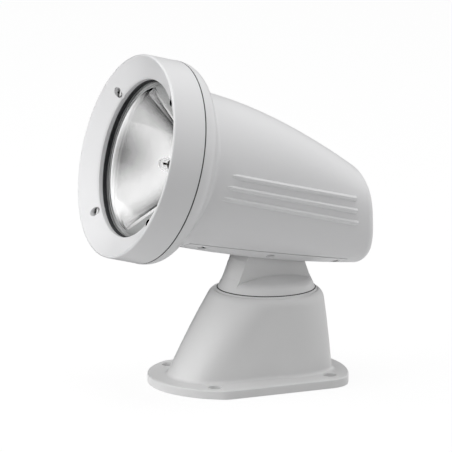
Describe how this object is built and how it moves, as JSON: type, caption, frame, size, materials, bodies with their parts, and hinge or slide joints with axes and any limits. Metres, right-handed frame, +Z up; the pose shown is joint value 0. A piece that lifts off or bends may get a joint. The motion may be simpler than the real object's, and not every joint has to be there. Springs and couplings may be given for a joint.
{
  "type": "halogen spotlight",
  "caption": "Round lamp head with ribbed rear housing, bezel and glass lens, on a motorised pan and tilt neck over a bolted deck pedestal.",
  "frame": {"origin": "centre of the four deck holes, on the underside of the flange", "axes": "+Z up out of the deck, the lamp looks towards -Y, +X is across"},
  "size_m": [0.1604, 0.2138, 0.2638],
  "materials": {
    "white_asa": "injection moulded ASA, satin gloss white",
    "pedestal_white": "injection moulded ASA, satin gloss white",
    "black_rubber": "moulded EPDM, matt black",
    "glass_clear": "tempered float glass, polished",
    "mirror_aluminium": "vacuum metallised aluminium reflector",
    "stainless": "A4 stainless, plain",
    "acetal": "machined acetal, natural",
    "motor_steel": "zinc plated can",
    "plated_sheet": "pressed aluminium sheet",
    "ceramic": "steatite ceramic",
    "quartz": "quartz capsule",
    "tungsten": "drawn tungsten wire"
  },
  "bodies": {
    "base": {"base_housing": "pedestal_white", "deck_gasket": "black_rubber", "neck_seal": "black_rubber", "thrust_washer": "acetal", "pan_bush": "acetal", "chassis_plate": "plated_sheet", "chassis_screws": "stainless", "pan_motor": "motor_steel"},
    "pan_drive_shaft": {"pan_pinion": "acetal"},
    "turret": {"neck": "white_asa", "pan_gear": "acetal", "pan_retainer": "stainless", "tilt_axle": "stainless", "axle_clips": "stainless", "tilt_sector": "acetal", "sector_screws": "stainless"},
    "lamp_head": {"head_shell": "white_asa", "bottom_cover": "white_asa", "cover_screws": "stainless", "bezel": "white_asa", "bezel_screws": "stainless", "bezel_seal": "black_rubber", "lens_glass": "glass_clear", "lens_gasket": "black_rubber", "reflector": "mirror_aluminium", "bulb_base": "ceramic", "bulb_glass": "quartz", "bulb_filament": "tungsten", "bulb_clip": "stainless", "tilt_frame": "plated_sheet", "frame_screws": "stainless", "tilt_bushes": "acetal", "tilt_motor": "motor_steel"},
    "tilt_drive_shaft": {"tilt_pinion": "acetal"}
  },
  "joints": [
    {"name": "pan", "type": "hinge", "parent": "base", "child": "turret", "pos_m": [0, 0.015, 0.07], "axis": [0, 0, 1], "range_deg": [-175, 175]},
    {"name": "pan_drive", "type": "hinge", "parent": "base", "child": "pan_drive_shaft", "pos_m": [0, -0.015, 0.04], "axis": [0, 0, 1], "range_deg": [-525, 525]},
    {"name": "tilt", "type": "hinge", "parent": "turret", "child": "lamp_head", "pos_m": [0, 0.015, 0.126], "axis": [1, 0, 0], "range_deg": [-10, 30]},
    {"name": "tilt_drive", "type": "hinge", "parent": "lamp_head", "child": "tilt_drive_shaft", "pos_m": [0, 0.04442, 0.14675], "axis": [1, 0, 0], "range_deg": [-30, 90]}
  ],
  "couplings": [
    {"joint": "pan_drive", "follows": "pan", "ratio": -3},
    {"joint": "tilt_drive", "follows": "tilt", "ratio": 3}
  ]
}
